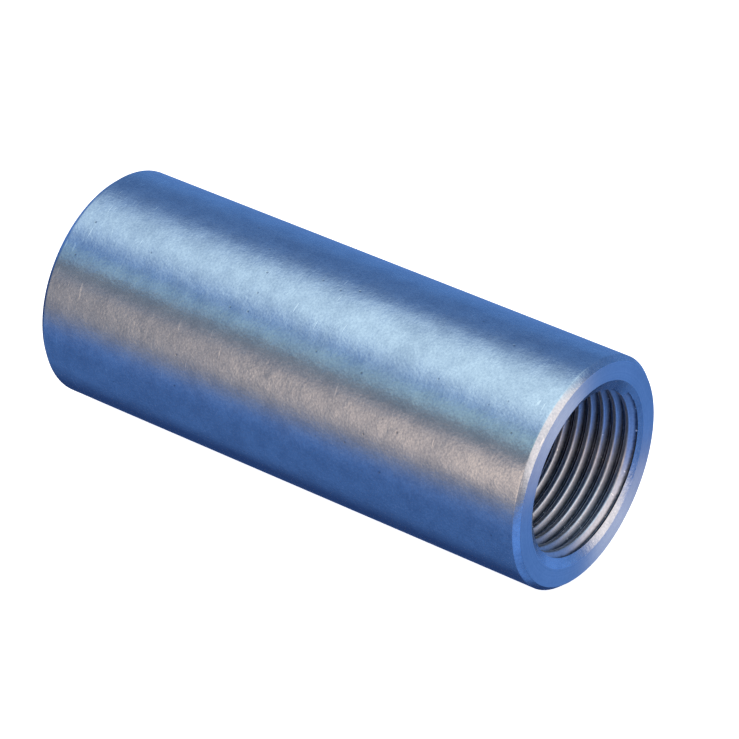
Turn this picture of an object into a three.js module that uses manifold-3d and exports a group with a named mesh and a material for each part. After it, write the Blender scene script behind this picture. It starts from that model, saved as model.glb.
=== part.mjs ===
// Threaded sleeve coupler: a plain round steel sleeve, tapped right through with a right-hand
// metric thread, that joins two threaded bars end to end.
//
// Millimetres, +Z up. The sleeve lies on its side with its axis along X, and the origin is the
// middle of its bore. It is one piece of turned, drilled and tapped bar, so it is one solid.

import * as THREE from "three";
import { mergeVertices } from "three/addons/utils/BufferGeometryUtils.js";
import Module from "manifold-3d";

// Sizes of the thread, M25 x 2, in millimetres and degrees.
const THREAD_MAJOR_DIAMETER = 25; // across the roots of an internal thread
const THREAD_PITCH = 2;
const THREAD_ANGLE = 60; // between the flanks
const ROOT_FLAT_SHARE = 1 / 8; // the flat at the bottom of the groove, as a share of the pitch

// Sizes of the sleeve round it.
const SLEEVE_LENGTH = 80;
const WALL_THICKNESS = 4; // from the roots of the thread to the outside
const EDGE_CHAMFER_RADIAL = 0.7; // how much smaller in radius the end face is than the sleeve
const EDGE_CHAMFER_AXIAL = 0.8; // how far the chamfer runs along the sleeve
const COUNTERSINK_MARGIN = 0.7; // how far the countersink opens past the roots of the thread
const COUNTERSINK_ANGLE = 120; // included

// How finely the round surfaces are faceted. The thread takes one step at each corner of the
// bore, so that its edges lie along the bore's facets.
const OUTSIDE_FACETS = 48; // an even number, so that a facet faces straight down
const BORE_FACETS = 24;
const THREAD_START_CORNER = 0; // counted from the top: where a groove crosses the middle

const TOOL_OVERRUN = 1; // how far the cutting tools reach past what they cut

const rootRadius = THREAD_MAJOR_DIAMETER / 2;
const drillRadius = (THREAD_MAJOR_DIAMETER - THREAD_PITCH) / 2; // the usual tapping drill
const outsideRadius = rootRadius + WALL_THICKNESS;
const halfLength = SLEEVE_LENGTH / 2;

// The turned outside, about the Y axis: a bar with a chamfer at each end, turned by half a
// facet so that one facet faces straight down.
function makeBar() {
  const faceRadius = outsideRadius - EDGE_CHAMFER_RADIAL;
  const shoulder = halfLength - EDGE_CHAMFER_AXIAL;
  const profile = [
    new THREE.Vector2(0, -halfLength),
    new THREE.Vector2(faceRadius, -halfLength),
    new THREE.Vector2(outsideRadius, -shoulder),
    new THREE.Vector2(outsideRadius, shoulder),
    new THREE.Vector2(faceRadius, halfLength),
    new THREE.Vector2(0, halfLength),
  ];
  return new THREE.LatheGeometry(profile, OUTSIDE_FACETS, Math.PI / OUTSIDE_FACETS);
}

// The tapping drill with a countersink at each end, as one cutting tool about the Y axis.
function makeDrill() {
  const coneSlope = Math.tan(THREE.MathUtils.degToRad(COUNTERSINK_ANGLE / 2));
  const mouthRadius = rootRadius + COUNTERSINK_MARGIN;
  const coneDepth = (mouthRadius - drillRadius) / coneSlope;
  const toolRadius = mouthRadius + TOOL_OVERRUN * coneSlope;
  const toolEnd = halfLength + TOOL_OVERRUN;
  const profile = [
    new THREE.Vector2(0, -toolEnd),
    new THREE.Vector2(toolRadius, -toolEnd),
    new THREE.Vector2(drillRadius, coneDepth - halfLength),
    new THREE.Vector2(drillRadius, halfLength - coneDepth),
    new THREE.Vector2(toolRadius, toolEnd),
    new THREE.Vector2(0, toolEnd),
  ];
  return new THREE.LatheGeometry(profile, BORE_FACETS);
}

// A right-hand helix about the Y axis. Its section frames keep one side pointing straight out
// from the axis, so that a profile swept along it stays a true axial section of a thread.
class ThreadHelix extends THREE.Curve {
  constructor(radius, turnsEachWay, startAngle) {
    super();
    this.radius = radius;
    this.turnsEachWay = turnsEachWay;
    this.startAngle = startAngle;
  }

  turns(t) {
    return this.turnsEachWay * (2 * t - 1);
  }

  outward(t) {
    const angle = this.startAngle + 2 * Math.PI * this.turns(t);
    return new THREE.Vector3(Math.sin(angle), 0, Math.cos(angle));
  }

  getPoint(t, target = new THREE.Vector3()) {
    return target.copy(this.outward(t)).multiplyScalar(this.radius).setY(THREAD_PITCH * this.turns(t));
  }

  // Equal steps of t are already equal steps along a helix.
  getPointAt(t, target) {
    return this.getPoint(t, target);
  }

  computeFrenetFrames(segments) {
    const steps = Array.from({ length: segments + 1 }, (_, i) => i / segments);
    const normals = steps.map((t) => this.outward(t));
    const binormals = steps.map(() => new THREE.Vector3(0, -1, 0));
    const tangents = normals.map((normal, i) => normal.clone().cross(binormals[i]));
    return { tangents, normals, binormals };
  }
}

// The tap: the section of one thread groove swept along the helix, from past one end of the
// sleeve to past the other. Inside the drilled bore its sides run straight in, so that one turn
// never meets the next.
function makeTap() {
  const flankSlope = Math.tan(THREE.MathUtils.degToRad(THREAD_ANGLE / 2));
  const depth = rootRadius - drillRadius;
  const rootHalf = (THREAD_PITCH * ROOT_FLAT_SHARE) / 2;
  const mouthHalf = rootHalf + depth * flankSlope;
  const groove = new THREE.Shape([
    new THREE.Vector2(-depth - TOOL_OVERRUN, -mouthHalf),
    new THREE.Vector2(-depth, -mouthHalf),
    new THREE.Vector2(0, -rootHalf),
    new THREE.Vector2(0, rootHalf),
    new THREE.Vector2(-depth, mouthHalf),
    new THREE.Vector2(-depth - TOOL_OVERRUN, mouthHalf),
  ]);
  const turnsEachWay = Math.ceil(halfLength / THREAD_PITCH) + 1;
  const startAngle = (THREAD_START_CORNER * 2 * Math.PI) / BORE_FACETS;
  const extrudePath = new ThreadHelix(rootRadius, turnsEachWay, startAngle);
  const steps = 2 * turnsEachWay * BORE_FACETS;
  return new THREE.ExtrudeGeometry(groove, { steps, extrudePath, bevelEnabled: false });
}

const wasm = await Module();
wasm.setup();

function toSolid(geometry) {
  const bare = geometry.clone();
  bare.deleteAttribute("normal");
  bare.deleteAttribute("uv");
  const merged = mergeVertices(bare, 1e-4);
  const vertProperties = merged.attributes.position.array;
  const triVerts = new Uint32Array(merged.index.array);
  return new wasm.Manifold(new wasm.Mesh({ numProp: 3, vertProperties, triVerts }));
}

function toGeometry(solid) {
  const mesh = solid.getMesh();
  const geometry = new THREE.BufferGeometry();
  geometry.setAttribute("position", new THREE.BufferAttribute(mesh.vertProperties, 3));
  geometry.setIndex(new THREE.BufferAttribute(mesh.triVerts, 1));
  geometry.computeVertexNormals();
  return geometry;
}

const sleeveSolid = toSolid(makeBar()).subtract(toSolid(makeDrill())).subtract(toSolid(makeTap()));

const satinSteel = new THREE.MeshStandardMaterial({
  name: "satin_steel",
  color: 0x9fb4cf,
  roughness: 0.38,
  metalness: 1,
});

const sleeve = new THREE.Mesh(toGeometry(sleeveSolid), satinSteel);
sleeve.name = "sleeve";
sleeve.rotation.z = -Math.PI / 2; // the lathe's Y axis becomes the sleeve's X axis

const coupler = new THREE.Group();
coupler.add(sleeve);

export default coupler;
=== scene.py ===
"""Threaded sleeve coupler: a round steel sleeve, tapped right through, lying on a light table."""

import math

import bpy
from mathutils import Matrix, Vector


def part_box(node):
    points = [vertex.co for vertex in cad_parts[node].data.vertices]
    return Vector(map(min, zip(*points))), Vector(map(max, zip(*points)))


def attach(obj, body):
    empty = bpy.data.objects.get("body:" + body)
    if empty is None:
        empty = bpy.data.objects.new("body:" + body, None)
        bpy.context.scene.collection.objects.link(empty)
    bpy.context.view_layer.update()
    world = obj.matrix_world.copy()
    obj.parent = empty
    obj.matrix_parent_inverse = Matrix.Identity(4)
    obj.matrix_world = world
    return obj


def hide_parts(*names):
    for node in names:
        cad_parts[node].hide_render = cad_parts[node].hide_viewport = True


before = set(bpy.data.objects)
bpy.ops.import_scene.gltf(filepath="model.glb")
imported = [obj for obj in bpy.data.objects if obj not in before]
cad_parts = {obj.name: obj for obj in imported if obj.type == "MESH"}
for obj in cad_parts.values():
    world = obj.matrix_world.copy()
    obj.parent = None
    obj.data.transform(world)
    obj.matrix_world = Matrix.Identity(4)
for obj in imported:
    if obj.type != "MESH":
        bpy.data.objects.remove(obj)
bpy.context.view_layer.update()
SLEEVE_LOW, SLEEVE_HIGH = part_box("sleeve")

bl_info = {
    "name": "Threaded sleeve coupler",
    "version": (1, 0, 0),
    "blender": (4, 5, 0),
    "location": "View3D > Sidebar > Coupler",
    "description": "Makes a tapped steel sleeve coupler and the light table that it lies on",
    "category": "Object",
}

MM = 0.001
FRAME_FLATS = 48  # round the outside of the frame's solid
OUTSIDE_DIAMETER = (SLEEVE_HIGH.z - SLEEVE_LOW.z) / math.cos(math.pi / FRAME_FLATS)

THREAD_ANGLE = math.radians(60)  # between the flanks of the groove
ROOT_FLAT_SHARE = 1 / 8  # the flat at the bottom of the groove, as a share of the pitch
WALL_SEGMENTS = 192
THREAD_SEGMENTS = 96  # to a turn
ROUNDING_STEPS = 3  # to a rounded corner
SEAM_GAP = 0.002 * MM  # points nearer than this are joined
CRISP_EDGE = math.radians(38)  # a sharper edge than this is shaded as an edge
CONE_TOLERANCE = 0.03 * MM  # how near the countersink's cone its faces lie
END_FACING = 0.97  # how squarely a face looks along the axis to be part of an end


def linear(hex_colour):
    """An sRGB hex colour as linear red, green, blue and alpha."""
    parts = [int(hex_colour[i : i + 2], 16) / 255 for i in (0, 2, 4)]
    return [c / 12.92 if c <= 0.04045 else ((c + 0.055) / 1.055) ** 2.4 for c in parts] + [1.0]


def add(tree, kind, inputs=(), **settings):
    """Adds a node with its settings, and sets or links its inputs, given in order or by name."""
    node = tree.nodes.new(kind)
    for name, value in settings.items():
        setattr(node, name, value)
    sockets = [s for s in node.inputs if s.enabled]
    if isinstance(inputs, dict):
        pairs = [(next(s for s in sockets if s.name == name), inputs[name]) for name in inputs]
    else:
        pairs = zip(sockets, inputs)
    for socket, value in pairs:
        if isinstance(value, bpy.types.Node):
            value = next(s for s in value.outputs if s.enabled)
        if isinstance(value, bpy.types.NodeSocket):
            tree.links.new(value, socket)
        else:
            socket.default_value = value
    return node


# ---------------------------------------------------------------- sizes and colours


def length(name, description, metres):
    """A setting for a length."""
    return bpy.props.FloatProperty(
        name=name, description=description, default=metres, min=0.0, unit="LENGTH", subtype="DISTANCE"
    )


def angle(name, description, degrees):
    """A setting for an angle."""
    return bpy.props.FloatProperty(
        name=name, description=description, default=math.radians(degrees), subtype="ANGLE"
    )


def colour(name, description, hex_colour):
    """A setting for a colour."""
    return bpy.props.FloatVectorProperty(
        name=name, description=description, default=linear(hex_colour), size=4, subtype="COLOR"
    )


class CouplerSleeveSettings(bpy.types.PropertyGroup):
    """The sizes of the sleeve and its thread"""

    sleeve_length: length("Length", "From end face to end face", SLEEVE_HIGH.x - SLEEVE_LOW.x)
    outside_diameter: length("Outside diameter", "Across the turned wall", OUTSIDE_DIAMETER)
    thread_diameter: length("Thread diameter", "Across the roots of the thread", 25 * MM)
    thread_pitch: length("Pitch", "From one turn of the thread to the next", 2 * MM)
    thread_start: angle("Thread start", "Where a root crosses the middle, from the top", 0)
    chamfer_radial: length("Chamfer depth", "How far the edge chamfer comes in from the wall", 0.7 * MM)
    chamfer_axial: length("Chamfer length", "How far the edge chamfer runs along the wall", 0.8 * MM)
    countersink_margin: length("Countersink margin", "How far the mouth opens past the roots", 0.7 * MM)
    countersink_angle: angle("Countersink angle", "Between the sides of the countersink", 120)
    edge_rounding: length("Edge rounding", "Radius left on the turned edges", 0.12 * MM)
    thread_rounding: length("Thread rounding", "Radius on the crests and roots", 0.35 * MM)


class CouplerFinishSettings(bpy.types.PropertyGroup):
    """The colours of the steel"""

    wall_colour: colour("Wall", "Bright drawn steel of the turned wall", "C2CCD8")
    wall_stain_colour: colour("Wall stain", "Faint darker mottling on the wall", "A2AEBE")
    end_colour: colour("End", "Freshly faced steel of the ends", "D0D8E0")
    crest_colour: colour("Thread crest", "Freshly cut steel on the crests", "B8C0CE")
    pit_colour: colour("Pit", "Oxide in the pits", "3A4250")
    scratch_colour: colour("Scratch", "Clean metal in scratches and burrs", "E8ECF0")
    # Painted shade: the roots' colour is a darker steel that stands for the shade deep in the groove.
    root_shade_colour: colour("Thread root", "Cutting oil left in the roots", "424B5C")


class CouplerStageSettings(bpy.types.PropertyGroup):
    """The colours of the table and the studio"""

    table_colour: colour("Light table", "Backlit white table", "FFFFFF")
    room_colour: colour("Room", "Blue surroundings above the table", "6694D4")
    ceiling_colour: colour("Ceiling", "Dimmer blue between the room and the softbox", "6086BC")
    sheet_colour: colour("Sheet", "Blue sheet that the bright metal mirrors from below", "6490D4")
    shade_colour: colour("Shade", "The shaded sheet straight under the sleeve", "2A4274")
    softbox_colour: colour("Overhead softbox", "Large cool softbox above", "E7FBFF")
    panel_colour: colour("Front panel", "Dim cool panel above the front card", "C0DCDA")
    gap_colour: colour("Gap", "Grey gap between the panel and the card", "8C929A")
    front_colour: colour("Front", "Dim warm front of the room, round the card", "A39FA2")
    card_colour: colour("Front card", "Warm white card at the front", "FFDFC8")
    side_colour: colour("Side softbox", "Large warm softbox off the open end", "FFECE0")


# ---------------------------------------------------------------- the shape


def rounded_outline(tree, half, count, rounding):
    """A line through a count of corners, each but the first and last rounded. The half holds the
    corners of the positive end, from its tip to the middle, as (along the axis, out from it)."""
    index = add(tree, "GeometryNodeInputIndex")
    back = add(tree, "ShaderNodeMath", [count - 1, index], operation="SUBTRACT")
    nearer = add(tree, "ShaderNodeMath", [index, back], operation="MINIMUM")
    offset = add(tree, "ShaderNodeMath", [index, back], operation="SUBTRACT")
    side = add(tree, "ShaderNodeMath", [offset], operation="SIGN")
    pick = add(tree, "GeometryNodeIndexSwitch", [nearer], data_type="VECTOR")
    while len(pick.index_switch_items) < len(half):
        pick.index_switch_items.new()
    for item, (along, out) in enumerate(half):
        corner = add(tree, "ShaderNodeCombineXYZ", [along, 0.0, out])
        tree.links.new(corner.outputs[0], pick.inputs[item + 1])
    mirror = add(tree, "ShaderNodeCombineXYZ", [side, 1.0, 1.0])
    place = add(tree, "ShaderNodeVectorMath", [pick, mirror], operation="MULTIPLY")
    line = add(tree, "GeometryNodeMeshLine", {"Count": count})
    placed = add(tree, "GeometryNodeSetPosition", {"Geometry": line, "Position": place})
    curve = add(tree, "GeometryNodeMeshToCurve", [placed])
    rounded = {
        "Curve": curve, "Count": ROUNDING_STEPS, "Radius": rounding, "Limit Radius": True,
    }
    return add(tree, "GeometryNodeFilletCurve", rounded, mode="POLY")


def lathe(tree, profile, turns, lead, segments, start, reach, spare_points=0):
    """Carries a profile round the X axis as a closed surface, moved on by one lead in each turn.
    Past the reach, either way along the axis, the surface closes on the axis."""
    size = add(tree, "GeometryNodeAttributeDomainSize", [profile], component="CURVE")
    total = size.outputs["Point Count"]
    points = add(tree, "ShaderNodeMath", [total, spare_points], operation="SUBTRACT")
    rows = add(tree, "ShaderNodeMath", [points, turns], operation="MULTIPLY")
    columns = add(tree, "ShaderNodeMath", [segments, 1.0], operation="ADD")
    grid = add(tree, "GeometryNodeMeshGrid", {"Vertices X": rows, "Vertices Y": columns})

    index = add(tree, "GeometryNodeInputIndex")
    row = add(tree, "FunctionNodeIntegerMath", [index, columns], operation="DIVIDE")
    column = add(tree, "FunctionNodeIntegerMath", [index, columns], operation="MODULO")
    turn = add(tree, "FunctionNodeIntegerMath", [row, points], operation="DIVIDE")
    point = add(tree, "FunctionNodeIntegerMath", [row, points], operation="MODULO")
    share = add(tree, "ShaderNodeMath", [column, segments], operation="DIVIDE")

    position = add(tree, "GeometryNodeInputPosition")
    wanted = {"Geometry": profile, "Value": position, "Index": point}
    sample = add(tree, "GeometryNodeSampleIndex", wanted, data_type="FLOAT_VECTOR")
    spot = add(tree, "ShaderNodeSeparateXYZ", [sample])
    turned = add(tree, "ShaderNodeMath", [turn, share], operation="ADD")
    from_middle = add(tree, "ShaderNodeMath", [turns, -0.5, turned], operation="MULTIPLY_ADD")
    along_lead = [from_middle, lead, spot.outputs["X"]]
    along = add(tree, "ShaderNodeMath", along_lead, operation="MULTIPLY_ADD")
    distance = add(tree, "ShaderNodeMath", [along], operation="ABSOLUTE")
    within = add(tree, "ShaderNodeMath", [distance, reach], operation="LESS_THAN")
    out = add(tree, "ShaderNodeMath", [spot.outputs["Z"], within], operation="MULTIPLY")
    far_reach = add(tree, "ShaderNodeMath", [reach, -1.0], operation="MULTIPLY")
    held = add(tree, "ShaderNodeClamp", {"Value": along, "Min": far_reach, "Max": reach})
    heading = add(tree, "ShaderNodeMath", [share, math.tau, start], operation="MULTIPLY_ADD")
    upright = add(tree, "ShaderNodeCombineXYZ", [held, 0.0, out])
    carried = {"Vector": upright, "Angle": heading}
    place = add(tree, "ShaderNodeVectorRotate", carried, rotation_type="X_AXIS")

    wrapped = add(tree, "GeometryNodeSetPosition", {"Geometry": grid, "Position": place})
    seam = {"Geometry": wrapped, "Distance": SEAM_GAP}
    closed = add(tree, "GeometryNodeMergeByDistance", seam)
    return add(tree, "GeometryNodeFlipFaces", [closed])


def sleeve_tree(finishes):
    """The turned sleeve less its tapped hole, both carried round the axis from an outline."""
    tree = bpy.data.node_groups.new("turned_and_tapped_sleeve", "GeometryNodeTree")
    sockets = tree.interface
    for name in (
        "Half Length", "Outside Radius", "Face Radius", "Shoulder", "Mouth Radius", "Dish Depth",
        "Dish Radius", "Countersink Slope", "Countersink Peak", "Root Radius", "Crest Radius",
        "Pitch", "Half Pitch", "Groove Half Mouth", "Groove Half Root", "Thread Start",
        "Thread Reach", "Edge Rounding", "Edge Support", "Thread Rounding",
    ):
        sockets.new_socket(name, in_out="INPUT", socket_type="NodeSocketFloat")
    for name in ("Wall Segments", "Thread Segments", "Thread Turns"):
        sockets.new_socket(name, in_out="INPUT", socket_type="NodeSocketInt")
    sockets.new_socket("Geometry", in_out="OUTPUT", socket_type="NodeSocketGeometry")
    given = add(tree, "NodeGroupInput").outputs
    end, outside, mouth = given["Half Length"], given["Outside Radius"], given["Mouth Radius"]
    face, shoulder = given["Face Radius"], given["Shoulder"]
    crest, root, support = given["Crest Radius"], given["Root Radius"], given["Edge Support"]

    # The blank: its outline runs from the axis out over an end, then along the wall. A support
    # corner on each flat keeps its shading flat beside a rounded edge.
    past_mouth = add(tree, "ShaderNodeMath", [mouth, support], operation="ADD")
    before_face = add(tree, "ShaderNodeMath", [face, support], operation="SUBTRACT")
    past_shoulder = add(tree, "ShaderNodeMath", [shoulder, support], operation="SUBTRACT")
    blank_half = [
        (given["Dish Depth"], 0.0),
        (given["Dish Depth"], given["Dish Radius"]),
        (end, mouth),
        (end, past_mouth),
        (end, before_face),
        (end, face),
        (shoulder, outside),
        (past_shoulder, outside),
        (0.0, outside),
    ]
    outline = rounded_outline(tree, blank_half, 2 * len(blank_half) - 1, given["Edge Rounding"])
    blank = lathe(tree, outline, 1, 0.0, given["Wall Segments"], 0.0, 1.0)

    # The tapped hole, as a solid screw: one tooth space to a pitch. The last point of its
    # outline is the first of the next turn's.
    groove_half = [
        (given["Half Pitch"], crest),
        (given["Groove Half Mouth"], crest),
        (given["Groove Half Root"], root),
    ]
    tooth = rounded_outline(tree, groove_half, 2 * len(groove_half), given["Thread Rounding"])
    screw = lathe(
        tree, tooth, given["Thread Turns"], given["Pitch"], given["Thread Segments"],
        given["Thread Start"], given["Thread Reach"], spare_points=1,
    )
    cut = add(tree, "GeometryNodeMeshBoolean", operation="DIFFERENCE", solver="MANIFOLD")
    tree.links.new(blank.outputs[0], cut.inputs["Mesh 1"])
    tree.links.new(screw.outputs[0], cut.inputs["Mesh 2"])

    smooth = {"Geometry": cut, "Shade Smooth": True}
    faces = add(tree, "GeometryNodeSetShadeSmooth", smooth, domain="FACE")
    corner = add(tree, "GeometryNodeInputMeshEdgeAngle")
    sharp = add(tree, "ShaderNodeMath", [corner, CRISP_EDGE], operation="GREATER_THAN")
    crisp = {"Geometry": faces, "Selection": sharp, "Shade Smooth": False}
    edged = add(tree, "GeometryNodeSetShadeSmooth", crisp, domain="EDGE")

    # Which faces the tools of the lathe left, by their place and by which way they face.
    position = add(tree, "GeometryNodeInputPosition")
    level = add(tree, "ShaderNodeVectorMath", [position, (0.0, 1.0, 1.0)], operation="MULTIPLY")
    out = add(tree, "ShaderNodeVectorMath", [level], operation="LENGTH")
    outer = add(tree, "ShaderNodeMath", [out, mouth], operation="GREATER_THAN")
    normal = add(tree, "ShaderNodeSeparateXYZ", [add(tree, "GeometryNodeInputNormal")])
    endwise = add(tree, "ShaderNodeMath", [normal], operation="ABSOLUTE")
    flat_end = add(tree, "ShaderNodeMath", [endwise, END_FACING], operation="GREATER_THAN")
    faced = add(tree, "ShaderNodeMath", [outer, flat_end], operation="MULTIPLY")
    along = add(tree, "ShaderNodeSeparateXYZ", [position])
    distance = add(tree, "ShaderNodeMath", [along], operation="ABSOLUTE")
    cone_line = [distance, given["Countersink Slope"], given["Countersink Peak"]]
    cone = add(tree, "ShaderNodeMath", cone_line, operation="MULTIPLY_ADD")
    on_cone = add(tree, "ShaderNodeMath", [out, cone, CONE_TOLERANCE], operation="COMPARE")
    turned = add(tree, "ShaderNodeMath", [outer, on_cone], operation="MAXIMUM")

    solid = add(tree, "GeometryNodeRealizeInstances", [edged])
    for chosen, finish in ((True, "thread"), (turned, "wall"), (faced, "end")):
        finished = {"Geometry": solid, "Selection": chosen, "Material": finishes[finish]}
        solid = add(tree, "GeometryNodeSetMaterial", finished)
    add(tree, "NodeGroupOutput", [solid])
    return tree


def make_with_nodes(name, tree, values):
    """Runs a geometry tree and keeps its result as a plain mesh object."""
    mesh = bpy.data.meshes.new(name)
    piece = bpy.data.objects.new(name, mesh)
    bpy.context.scene.collection.objects.link(piece)
    modifier = piece.modifiers.new("shape", "NODES")
    modifier.node_group = tree
    for item in tree.interface.items_tree:
        if item.in_out == "INPUT" and item.name in values:
            modifier[item.identifier] = values[item.name]
    depsgraph = bpy.context.evaluated_depsgraph_get()
    made = bpy.data.meshes.new_from_object(piece.evaluated_get(depsgraph))
    piece.modifiers.remove(modifier)
    piece.data = made
    bpy.data.meshes.remove(mesh)
    made.name = name
    while None in made.materials[:]:  # the empty slot that the tree starts from
        made.materials.pop(index=made.materials[:].index(None))
    return piece


# ---------------------------------------------------------------- the finishes


def new_steel(name, roughness, anisotropy=0.0):
    """A bare metal material, with its tree, its shader and its Object coordinates."""
    material = bpy.data.materials.new(name)
    material.use_nodes = True
    tree = material.node_tree
    shader = tree.nodes["Principled BSDF"]
    shader.inputs["Metallic"].default_value = 1.0
    shader.inputs["Roughness"].default_value = roughness
    shader.inputs["Anisotropic"].default_value = anisotropy
    return material, tree, shader, add(tree, "ShaderNodeTexCoord").outputs["Object"]


def make_wall_finish(settings):
    """Bright drawn steel, skimmed on the lathe and dulled by handling, on the wall, the chamfers
    and the countersinks. It gives the eye a satin mirror with a sandy grain, which frays the edges
    of what it reflects, cloudy dull patches, a few pits, and short scratches round it that gather
    at the far end."""
    material, tree, shader, place = new_steel("bright_drawn_steel", 0.24)

    # The grain and the lathe's marks are really about 0.1 mm apart, too fine to show, so they are
    # drawn about 0.3 mm apart. The marks run round the sleeve, three times as long as wide.
    grain_size = {"Vector": place, "Scale": 1 / (0.34 * MM), "Detail": 2.0}
    grain = add(tree, "ShaderNodeTexNoise", grain_size)
    round_scale = [1 / (0.3 * MM), 1 / (0.9 * MM), 1 / (0.9 * MM)]
    round_place = add(tree, "ShaderNodeMapping", {"Vector": place, "Scale": round_scale})
    marks = add(tree, "ShaderNodeTexNoise", {"Vector": round_place, "Scale": 1.0, "Detail": 1.0})
    speck_size = {"Vector": place, "Scale": 1 / (0.32 * MM), "Detail": 2.0}
    specks = add(tree, "ShaderNodeTexNoise", speck_size)
    ripple_size = {"Vector": place, "Scale": 1 / (1.5 * MM), "Detail": 2.0}
    ripple = add(tree, "ShaderNodeTexNoise", ripple_size)
    sway = add(tree, "ShaderNodeTexNoise", {"Vector": place, "Scale": 1 / (7 * MM), "Detail": 2.0})

    # Handling has dulled patches some 9 mm across, and stained blotches of 2 or 3 mm.
    patch_size = {"Vector": place, "Scale": 1 / (9 * MM), "Detail": 4.0}
    patches = add(tree, "ShaderNodeTexNoise", patch_size)
    patch_edge = [patches, 0.35, 0.75, 0.0, 1.0]
    dull = add(tree, "ShaderNodeMapRange", patch_edge, interpolation_type="SMOOTHSTEP")
    blotch_size = {"Vector": place, "Scale": 1 / (2.4 * MM), "Detail": 3.0}
    blotches = add(tree, "ShaderNodeTexNoise", blotch_size)
    blotch_edge = [blotches, 0.35, 0.7, 0.0, 1.0]
    blotched = add(tree, "ShaderNodeMapRange", blotch_edge, interpolation_type="SMOOTHSTEP")

    # Pits up to 0.4 mm across, where a random point lies at the surface. There is one point to
    # each 2.6 mm cube of the steel, and about half of them are used.
    cells = add(tree, "ShaderNodeTexVoronoi", {"Vector": place, "Scale": 1 / (2.6 * MM)})
    pit_edge = [cells.outputs["Distance"], 0.04, 0.09, 1.0, 0.0]
    hollow = add(tree, "ShaderNodeMapRange", pit_edge, interpolation_type="SMOOTHSTEP")
    drawn = add(tree, "ShaderNodeSeparateColor", [cells.outputs["Color"]])
    chosen = add(tree, "ShaderNodeMath", [drawn, 0.5], operation="GREATER_THAN")
    pit = add(tree, "ShaderNodeMath", [hollow, chosen], operation="MULTIPLY")

    # Scratches 0.35 mm wide and some 3 mm long, more of them past 30 mm towards the far end.
    stroke_scale = [1 / (0.35 * MM), 1 / (3.15 * MM), 1 / (3.15 * MM)]
    stroke_place = add(tree, "ShaderNodeMapping", {"Vector": place, "Scale": stroke_scale})
    stroke_size = {"Vector": stroke_place, "Scale": 1.0, "Detail": 0.0}
    strokes = add(tree, "ShaderNodeTexNoise", stroke_size)
    along = add(tree, "ShaderNodeSeparateXYZ", [place])
    far_end = [along, -30 * MM, -37 * MM, -0.03, 0.07]
    worn = add(tree, "ShaderNodeMapRange", far_end, interpolation_type="SMOOTHSTEP")
    stroked = add(tree, "ShaderNodeMath", [strokes, worn], operation="ADD")
    scratch_edge = [stroked, 0.78, 0.84, 0.0, 1.0]
    scratch = add(tree, "ShaderNodeMapRange", scratch_edge, interpolation_type="SMOOTHSTEP")

    stain = -0.545
    for pattern, weight in ((dull, 0.3), (blotched, 0.4), (specks, 1.6)):
        stain = add(tree, "ShaderNodeMath", [pattern, weight, stain], operation="MULTIPLY_ADD")
    colour_now = settings.wall_colour
    for share, weight, tint in (
        (stain, 1.0, settings.wall_stain_colour),
        (pit, 0.45, settings.pit_colour),
        (scratch, 0.5, settings.scratch_colour),
    ):
        weighed = add(tree, "ShaderNodeMath", [share, weight], operation="MULTIPLY")
        mixed = add(tree, "ShaderNodeMix", [weighed, colour_now, tint], data_type="RGBA")
        colour_now = mixed.outputs[2]
    tree.links.new(colour_now, shader.inputs["Base Color"])

    rough = 0.17
    for pattern, weight in ((dull, 0.05), (grain, 0.08)):
        rough = add(tree, "ShaderNodeMath", [pattern, weight, rough], operation="MULTIPLY_ADD")
    tree.links.new(rough.outputs[0], shader.inputs["Roughness"])

    # Heights in steps of 5 thousandths of a millimetre.
    height = 0.0
    for pattern, weight in (
        (grain, 2.6), (marks, 0.6), (ripple, 4.5), (sway, 11.0), (pit, -2.0), (scratch, -1.0),
    ):
        height = add(tree, "ShaderNodeMath", [pattern, weight, height], operation="MULTIPLY_ADD")
    relief = {"Strength": 1.0, "Distance": 0.005 * MM, "Height": height}
    bump = add(tree, "ShaderNodeBump", relief)
    tree.links.new(bump.outputs[0], shader.inputs["Normal"])
    return material


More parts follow.
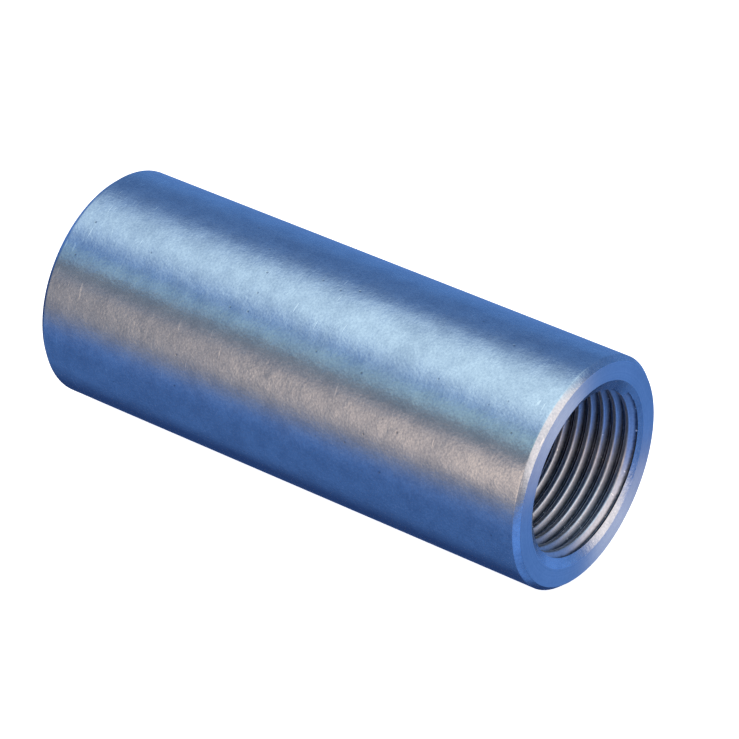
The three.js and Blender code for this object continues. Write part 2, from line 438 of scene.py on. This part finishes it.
def make_end_finish(settings):
    """Faced steel: the two ends, cut on the lathe in fine rings. It gives the eye two
    opposite fans of light, because the rings spread each reflection out from the axis."""
    material, tree, shader, place = new_steel("faced_steel", 0.47, anisotropy=0.9)
    shader.inputs["Anisotropic Rotation"].default_value = 0.25
    tangent = add(tree, "ShaderNodeTangent", direction_type="RADIAL", axis="X")
    tree.links.new(tangent.outputs[0], shader.inputs["Tangent"])

    # The tool's feed is really about 0.1 mm, too fine to show, so its rings are drawn at 0.22 mm,
    # with broader ones of 0.8 mm where it was pressed harder.
    level = add(tree, "ShaderNodeVectorMath", [place, (0.0, 1.0, 1.0)], operation="MULTIPLY")
    out = add(tree, "ShaderNodeVectorMath", [level], operation="LENGTH")
    along = add(tree, "ShaderNodeSeparateXYZ", [place])
    rings = add(tree, "ShaderNodeCombineXYZ", [out, along, 0.0])
    feed_size = {"Vector": rings, "Scale": 1 / (0.22 * MM), "Detail": 2.0}
    feed = add(tree, "ShaderNodeTexNoise", feed_size)
    pass_size = {"Vector": rings, "Scale": 1 / (0.8 * MM), "Detail": 1.0}
    passes = add(tree, "ShaderNodeTexNoise", pass_size)
    grain_size = {"Vector": place, "Scale": 1 / (0.35 * MM), "Detail": 2.0}
    grain = add(tree, "ShaderNodeTexNoise", grain_size)
    patch_size = {"Vector": place, "Scale": 1 / (5 * MM), "Detail": 3.0}
    patches = add(tree, "ShaderNodeTexNoise", patch_size)

    stain = -0.2
    for pattern, weight in ((feed, 0.6), (patches, 0.4), (grain, 0.5)):
        stain = add(tree, "ShaderNodeMath", [pattern, weight, stain], operation="MULTIPLY_ADD")
    shade = [stain, settings.end_colour, settings.wall_stain_colour]
    stained = add(tree, "ShaderNodeMix", shade, data_type="RGBA")
    tree.links.new(stained.outputs[2], shader.inputs["Base Color"])

    height = 0.0
    for pattern, weight in ((feed, 1.2), (passes, 5.0), (grain, 1.2), (patches, 4.0)):
        height = add(tree, "ShaderNodeMath", [pattern, weight, height], operation="MULTIPLY_ADD")
    relief = {"Strength": 1.0, "Distance": 0.003 * MM, "Height": height}
    bump = add(tree, "ShaderNodeBump", relief)
    tree.links.new(bump.outputs[0], shader.inputs["Normal"])
    return material


def make_thread_finish(settings, root_radius, crest_radius):
    """Tapped steel: the thread. It gives the eye bright flanks and crests with a torn grain, over
    roots painted darker as shade, and a few glints from burrs."""
    material, tree, shader, place = new_steel("tapped_steel", 0.36)
    level = add(tree, "ShaderNodeVectorMath", [place, (0.0, 1.0, 1.0)], operation="MULTIPLY")
    out = add(tree, "ShaderNodeVectorMath", [level], operation="LENGTH")
    shade_edge_noise_size = {"Vector": place, "Scale": 1 / (2 * MM), "Detail": 3.0}
    shade_edge_noise = add(tree, "ShaderNodeTexNoise", shade_edge_noise_size)
    grain_size = {"Vector": place, "Scale": 1 / (0.35 * MM), "Detail": 2.0}
    grain = add(tree, "ShaderNodeTexNoise", grain_size)
    burr_size = {"Vector": place, "Scale": 1 / (0.4 * MM), "Detail": 0.0}
    burrs = add(tree, "ShaderNodeTexNoise", burr_size)
    burr_edge = [burrs, 0.79, 0.84, 0.0, 1.0]
    burr = add(tree, "ShaderNodeMapRange", burr_edge, interpolation_type="SMOOTHSTEP")

    # Painted shade: the outer half of the groove is darkened towards the root, to an uneven edge.
    depth = root_radius - crest_radius
    noisy_radius = add(tree, "ShaderNodeMath", [shade_edge_noise, 0.3 * depth, out], operation="MULTIPLY_ADD")
    root_shade_edge = [noisy_radius, crest_radius + 0.65 * depth, crest_radius + 1.15 * depth, -0.15, 0.75]
    root_shade = add(tree, "ShaderNodeMapRange", root_shade_edge, interpolation_type="SMOOTHSTEP")
    root_shade_and_grain = add(tree, "ShaderNodeMath", [grain, 0.5, root_shade], operation="MULTIPLY_ADD")
    # Mixes the crest colour towards the painted root shade, with some random grain.
    shade = [root_shade_and_grain, settings.crest_colour, settings.root_shade_colour]
    root_shaded = add(tree, "ShaderNodeMix", shade, data_type="RGBA")
    glint = [burr, root_shaded.outputs[2], settings.scratch_colour]
    flecked = add(tree, "ShaderNodeMix", glint, data_type="RGBA")
    tree.links.new(flecked.outputs[2], shader.inputs["Base Color"])

    rough = add(tree, "ShaderNodeMath", [grain, 0.12, 0.3], operation="MULTIPLY_ADD")
    tree.links.new(rough.outputs[0], shader.inputs["Roughness"])
    height = add(tree, "ShaderNodeMath", [burr, 1.5, grain], operation="MULTIPLY_ADD")
    relief = {"Strength": 1.0, "Distance": 0.008 * MM, "Height": height}
    bump = add(tree, "ShaderNodeBump", relief)
    tree.links.new(bump.outputs[0], shader.inputs["Normal"])
    return material


# ---------------------------------------------------------------- the stage


def make_table(settings):
    """A backlit white table, far larger than the view. The metal mirrors the sheet below instead."""
    half = 2.0
    reflectance, glow = 0.8, 0.86
    height = (SLEEVE_LOW.z + SLEEVE_HIGH.z - OUTSIDE_DIAMETER) / 2
    corners = [(x * half, y * half, height) for x, y in ((-1, -1), (1, -1), (1, 1), (-1, 1))]
    mesh = bpy.data.meshes.new("light_table")
    mesh.from_pydata(corners, [], [(0, 1, 2, 3)])
    table = bpy.data.objects.new("light_table", mesh)
    bpy.context.scene.collection.objects.link(table)
    material = bpy.data.materials.new("opal_acrylic")
    material.use_nodes = True
    shader = material.node_tree.nodes["Principled BSDF"]
    seen = [reflectance * c for c in settings.table_colour[:3]] + [1.0]
    shader.inputs["Base Color"].default_value = seen
    shader.inputs["Roughness"].default_value = 0.9
    shader.inputs["Emission Color"].default_value = settings.table_colour
    shader.inputs["Emission Strength"].default_value = glow
    mesh.materials.append(material)
    table.visible_glossy = False
    return table


def make_surroundings(settings):
    """What lights the table, and what the bright metal mirrors: a blue room and sheet, a large cool
    softbox overhead, a warm one off the open end, and a dim panel and a warm card in front."""
    world = bpy.data.worlds.new("studio")
    bpy.context.scene.world = world
    world.use_nodes = True
    world.cycles.sampling_method = "NONE"  # its light is even, except where the metal mirrors it
    tree = world.node_tree
    tree.nodes.clear()
    way = add(tree, "ShaderNodeTexCoord").outputs["Generated"]
    split = add(tree, "ShaderNodeSeparateXYZ", [way])
    x, y, z = split.outputs
    front = add(tree, "ShaderNodeMath", [y, -1.0], operation="MULTIPLY")
    turn = add(tree, "ShaderNodeMath", [front, z], operation="ARCTAN2")
    around = add(tree, "ShaderNodeMath", [turn], operation="DEGREES")

    # A strip's flare is counted along the sleeve, from the heading that the middle of the wall
    # mirrors to where the flare stops.
    wall_middle, flare_end = -0.49, -0.35
    endward = add(tree, "ShaderNodeMath", [x, flare_end], operation="MINIMUM")
    spread = add(tree, "ShaderNodeMath", [endward, -wall_middle], operation="ADD")

    # Strips that run along the sleeve, each laid over those before it: its colour and strength, in
    # degrees from straight up to the front its middle, half width and soft edge, how it fades along
    # the sleeve from one heading to the other, and how it widens towards the open end. The sheet
    # is brightest off the open end, dimmer along the wall and straight below, and darkest in the
    # shade.
    seen = settings.room_colour
    for tint, strength, centre, half_width, softness, fade_from, fade_to, flare in (
        (settings.ceiling_colour, 1.0, -55, 22, 24, -2.0, -1.5, 0),
        (settings.sheet_colour, 1.0, 190, 72, 20, -2.0, -1.5, 0),
        (settings.sheet_colour, 0.72, 162, 34, 30, 0.1, -0.2, 0),
        (settings.sheet_colour, 1.5, 190, 72, 20, -0.1, 0.5, 0),
        (settings.sheet_colour, 0.85, 190, 24, 20, 0.2, 0.35, 0),
        (settings.sheet_colour, 0.5, 208, 16, 20, 0.42, 0.25, 0),
        (settings.shade_colour, 1.0, 203, 22, 34, 0.12, 0.08, 0),
        (settings.softbox_colour, 1.55, -2, 25, 36, -0.95, -0.3, 60),
        (settings.panel_colour, 1.22, 44, 9, 6, -0.8, -0.3, 0),
        (settings.front_colour, 1.0, 84, 27, 34, -2.0, -1.5, 0),
        (settings.gap_colour, 1.0, 57, 7, 8, -2.0, -1.5, 0),
        (settings.card_colour, 1.7, 81, 14, 16, -0.53, -0.4, 0),
        (settings.front_colour, 1.0, 81, 30, 20, 0.5, 0.8, 0),
    ):
        beside = add(tree, "ShaderNodeMath", [around, centre], operation="SUBTRACT")
        wrapped = add(tree, "ShaderNodeMath", [beside, 180.0, -180.0], operation="WRAP")
        off = add(tree, "ShaderNodeMath", [wrapped], operation="ABSOLUTE")
        flared = add(tree, "ShaderNodeMath", [spread, -flare, off], operation="MULTIPLY_ADD")
        edge = [flared, half_width - softness / 2, half_width + softness / 2, 1.0, 0.0]
        across = add(tree, "ShaderNodeMapRange", edge, interpolation_type="SMOOTHSTEP")
        fade = [x, fade_from, fade_to, 0.0, 1.0]
        along = add(tree, "ShaderNodeMapRange", fade, interpolation_type="SMOOTHSTEP")
        mask = add(tree, "ShaderNodeMath", [across, along], operation="MULTIPLY")
        lit = [c * strength for c in tint[:3]] + [1.0]
        seen = add(tree, "ShaderNodeMix", [mask, seen, lit], data_type="RGBA").outputs[2]

    # The side softbox is round, stands on the table off the open end, and is some 75 degrees wide.
    strength = 1.75
    rise, rim_outside, rim_inside = (math.radians(degrees) for degrees in (14, 43, 31))
    aim = (math.cos(rise), 0.0, math.sin(rise))
    towards = add(tree, "ShaderNodeVectorMath", [way, aim], operation="DOT_PRODUCT")
    rim = [towards, math.cos(rim_outside), math.cos(rim_inside), 0.0, 1.0]
    disc = add(tree, "ShaderNodeMapRange", rim, interpolation_type="SMOOTHSTEP")
    horizon = [z, -0.2, 0.0, 0.0, 1.0]
    above = add(tree, "ShaderNodeMapRange", horizon, interpolation_type="SMOOTHSTEP")
    shown = add(tree, "ShaderNodeMath", [disc, above], operation="MULTIPLY")
    lit = [strength * c for c in settings.side_colour[:3]] + [1.0]
    seen = add(tree, "ShaderNodeMix", [shown, seen, lit], data_type="RGBA").outputs[2]

    mirrored = add(tree, "ShaderNodeBackground", {"Color": seen, "Strength": 1.0})
    white = {"Color": [1.0, 1.0, 1.0, 1.0], "Strength": 1.0}
    plain = add(tree, "ShaderNodeBackground", white)
    ray = add(tree, "ShaderNodeLightPath").outputs["Is Glossy Ray"]
    mixed = add(tree, "ShaderNodeMixShader", [ray, plain, mirrored])
    add(tree, "ShaderNodeOutputWorld", [mixed])
    return world


def make_camera():
    """A long lens that looks from the open end's side, about a third of the way up."""
    azimuth, elevation = math.radians(36.14), math.radians(34.0)
    aside, above, distance = 0.217, 0.038, 33.95  # in outside radii, from the sleeve's middle
    right = Vector((math.cos(azimuth), math.sin(azimuth), 0.0))
    level_back = Vector((math.sin(azimuth), -math.cos(azimuth), 0.0))
    back = level_back * math.cos(elevation) + Vector((0.0, 0.0, math.sin(elevation)))
    up = back.cross(right)
    radius = OUTSIDE_DIAMETER / 2
    aim = (SLEEVE_LOW + SLEEVE_HIGH) / 2 + (aside * right + above * up) * radius
    data = bpy.data.cameras.new("camera")
    data.lens, data.sensor_width = 200.7, 36.0
    data.clip_start, data.clip_end = 0.01, 10.0
    camera = bpy.data.objects.new("camera", data)
    bpy.context.scene.collection.objects.link(camera)
    turned = Matrix((right, up, back)).transposed().to_4x4()
    camera.matrix_world = Matrix.Translation(aim + distance * radius * back) @ turned
    bpy.context.scene.camera = camera
    return camera


# ---------------------------------------------------------------- operators and panel


class COUPLER_OT_sleeve(bpy.types.Operator):
    """Make the turned and tapped sleeve, with its three finishes"""

    bl_idname = "coupler.sleeve"
    bl_label = "Make sleeve"

    def execute(self, context):
        size = context.scene.coupler_sleeve
        finish = context.scene.coupler_finish
        root_radius = size.thread_diameter / 2
        crest_radius = root_radius - size.thread_pitch / 2  # the usual tapping drill
        finishes = {
            "wall": make_wall_finish(finish),
            "end": make_end_finish(finish),
            "thread": make_thread_finish(finish, root_radius, crest_radius),
        }
        mouth_radius = root_radius + size.countersink_margin
        half_length = size.sleeve_length / 2
        half_pitch = size.thread_pitch / 2
        slope = math.tan(size.countersink_angle / 2)
        dish_radius = 0.9 * crest_radius  # inside the thread, so that the thread cuts it away
        half_root = size.thread_pitch * ROOT_FLAT_SHARE / 2
        half_mouth = half_root + (root_radius - crest_radius) * math.tan(THREAD_ANGLE / 2)
        values = {
            "Half Length": half_length,
            "Outside Radius": size.outside_diameter / 2,
            "Face Radius": size.outside_diameter / 2 - size.chamfer_radial,
            "Shoulder": half_length - size.chamfer_axial,
            "Mouth Radius": mouth_radius,
            "Dish Depth": half_length - (mouth_radius - dish_radius) / slope,
            "Dish Radius": dish_radius,
            "Countersink Slope": slope,
            "Countersink Peak": mouth_radius - half_length * slope,
            "Root Radius": root_radius,
            "Crest Radius": crest_radius,
            "Pitch": size.thread_pitch,
            "Half Pitch": half_pitch,
            "Groove Half Mouth": half_mouth,
            "Groove Half Root": half_root,
            "Thread Start": size.thread_start,
            "Thread Reach": half_length + half_pitch,
            "Edge Rounding": size.edge_rounding,
            "Edge Support": 2 * size.edge_rounding,
            "Thread Rounding": size.thread_rounding,
            "Wall Segments": WALL_SEGMENTS,
            "Thread Segments": THREAD_SEGMENTS,
            "Thread Turns": 2 * (math.ceil(half_length / size.thread_pitch) + 2),
        }
        sleeve = make_with_nodes("tapped_sleeve", sleeve_tree(finishes), values)
        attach(sleeve, "root")
        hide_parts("sleeve")
        return {"FINISHED"}


class COUPLER_OT_stage(bpy.types.Operator):
    """Make the light table, the studio's light and the camera"""

    bl_idname = "coupler.stage"
    bl_label = "Make stage"

    def execute(self, context):
        settings = context.scene.coupler_stage
        make_table(settings)
        make_surroundings(settings)
        make_camera()
        context.scene.view_settings.view_transform = "Standard"
        return {"FINISHED"}


class COUPLER_PT_panel(bpy.types.Panel):
    """Lists the coupler's sizes and colours with the operators that use them"""

    bl_idname = "COUPLER_PT_panel"
    bl_label = "Sleeve coupler"
    bl_space_type = "VIEW_3D"
    bl_region_type = "UI"
    bl_category = "Coupler"

    def draw(self, context):
        scene = context.scene
        for settings in (scene.coupler_sleeve, scene.coupler_finish, scene.coupler_stage):
            box = self.layout.box()
            for name in settings.__annotations__:
                box.prop(settings, name)
        self.layout.operator("coupler.sleeve")
        self.layout.operator("coupler.stage")


CLASSES = (
    CouplerSleeveSettings,
    CouplerFinishSettings,
    CouplerStageSettings,
    COUPLER_OT_sleeve,
    COUPLER_OT_stage,
    COUPLER_PT_panel,
)


def register():
    for cls in CLASSES:
        bpy.utils.register_class(cls)
    bpy.types.Scene.coupler_sleeve = bpy.props.PointerProperty(type=CouplerSleeveSettings)
    bpy.types.Scene.coupler_finish = bpy.props.PointerProperty(type=CouplerFinishSettings)
    bpy.types.Scene.coupler_stage = bpy.props.PointerProperty(type=CouplerStageSettings)


def unregister():
    for name in ("coupler_sleeve", "coupler_finish", "coupler_stage"):
        delattr(bpy.types.Scene, name)
    for cls in reversed(CLASSES):
        bpy.utils.unregister_class(cls)


def main():
    register()
    bpy.ops.coupler.sleeve()
    bpy.ops.coupler.stage()


if __name__ == "__main__":
    main()
